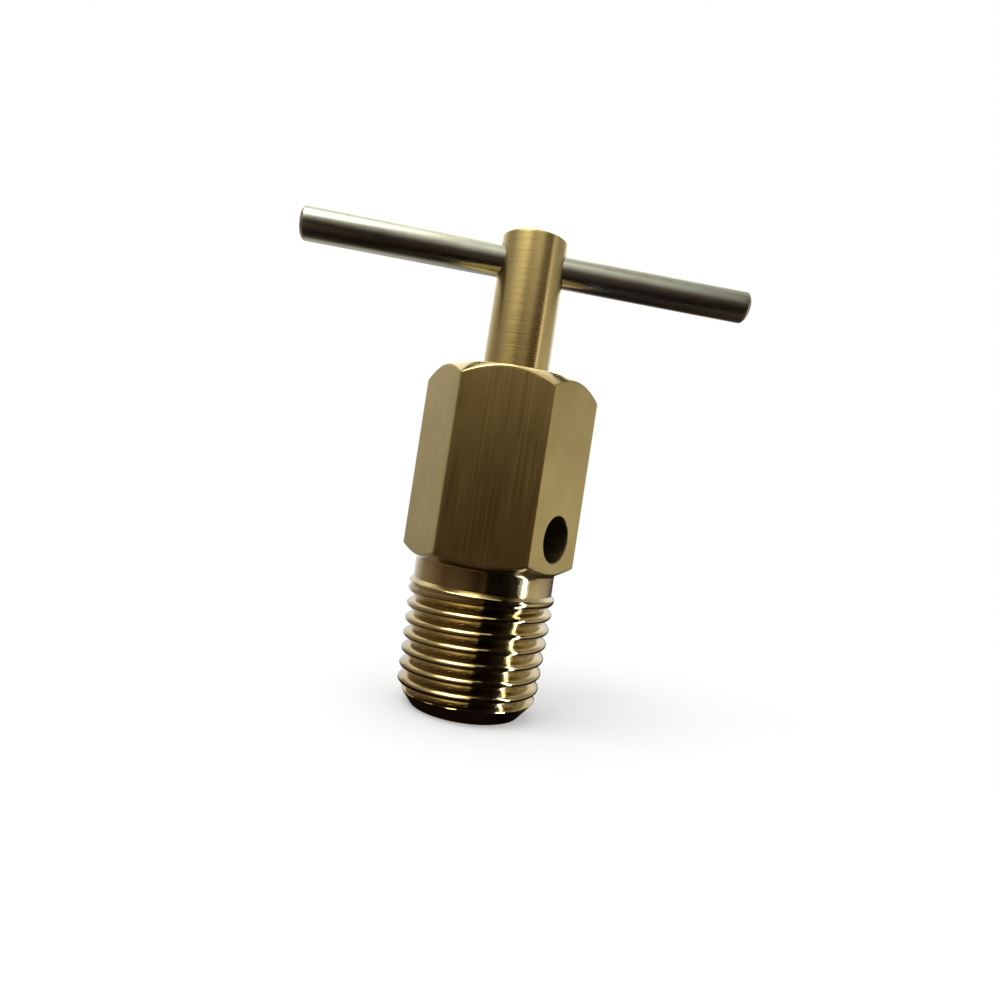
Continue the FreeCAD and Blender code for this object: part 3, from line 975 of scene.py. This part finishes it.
def card_glow(name, gridded):
    """The cards' own soft light, in the tone painted on them. A gridded card is dark towards the back."""
    material, tree = new_material(name)
    tree.nodes.remove(tree.nodes["Principled BSDF"])
    glow = tree.nodes.new("ShaderNodeEmission")
    tone = tree.nodes.new("ShaderNodeAttribute")
    tone.attribute_name = "tone"
    tree.links.new(tone.outputs["Color"], glow.inputs["Color"])
    if gridded:
        split = tree.nodes.new("ShaderNodeSeparateXYZ")
        tree.links.new(tree.nodes.new("ShaderNodeNewGeometry").outputs["Incoming"], split.inputs[0])
        put(tree, glow.inputs["Strength"], remap(tree, split.outputs[1], *STRIP_GRID, 1.0, 0.0))
    tree.links.new(glow.outputs[0], tree.nodes["Material Output"].inputs["Surface"])
    return material


def add_key_softbox():
    """A soft lamp at the upper left, aimed at the middle of the object."""
    lamp = bpy.data.lights.new("key_softbox", "AREA")
    lamp.shape = "RECTANGLE"
    lamp.size, lamp.size_y = KEY_SIZE
    lamp.energy = KEY_POWER
    softbox = add_object("key_softbox", lamp)
    reach = KEY_DISTANCE * cos(radians(KEY_ELEVATION))
    rise = KEY_DISTANCE * sin(radians(KEY_ELEVATION))
    softbox.location = round_the_object(radians(KEY_AZIMUTH), reach, KEY_AIM.z + rise)
    softbox.rotation_mode = "QUATERNION"
    softbox.rotation_quaternion = (KEY_AIM - softbox.location).to_track_quat("-Z", "Y")


def add_camera():
    """The camera of the photograph, rolled as it was held."""
    data = bpy.data.cameras.new("camera")
    data.lens = CAMERA_LENS
    data.clip_start = CAMERA_CLIP
    camera = add_object("camera", data)
    aim = CAMERA_TURN + CAMERA_YAW
    forward = Vector((-sin(aim) * cos(CAMERA_PITCH), cos(aim) * cos(CAMERA_PITCH), sin(CAMERA_PITCH)))
    level = forward.cross(Vector((0, 0, 1))).normalized()
    upright = level.cross(forward)
    right = level * cos(CAMERA_ROLL) + upright * sin(CAMERA_ROLL)
    up = upright * cos(CAMERA_ROLL) - level * sin(CAMERA_ROLL)
    turn = Matrix((right, up, -forward)).transposed()
    place = round_the_object(CAMERA_TURN, CAMERA_DISTANCE, CAMERA_HEIGHT)
    camera.matrix_world = Matrix.Translation(place) @ turn.to_4x4()
    bpy.context.scene.camera = camera


def build_studio():
    """White room, floor, camera, softbox and cards."""
    add_world()
    add_floor()
    add_camera()
    add_key_softbox()
    glow = card_glow("card_glow", gridded=False)
    strip_glow = card_glow("strip_glow", gridded=True)
    add_card("studio_tent", TENT_STATIONS, TENT_ELEVATIONS, place_on_tent, glow)
    add_low_card("thread_flag", FLAG_PROFILE, FLAG_STATIONS, strip_glow, STRIP_TINT)
    add_low_card("strip_hood", HOOD_PROFILE, HOOD_STATIONS, glow)
    add_low_card("crest_flag", CREST_FLAG_PROFILE, CREST_FLAG_STATIONS, glow)
    add_low_card("thread_reflector", REFLECTOR_PROFILE, REFLECTOR_STATIONS, glow)


def build_object():
    """The four pieces, each in its own finish."""
    thread = thread_tree()
    make_body(thread, [flat_brass(), turned_brass(), thread_brass(), bore_brass_painted_shade()])
    make_stem(thread, stem_brass())
    make_tee_bar(bar_metal())
    make_seat_disc(disc_rubber())


build_object()
build_studio()
bpy.context.scene.view_settings.view_transform = "Standard"
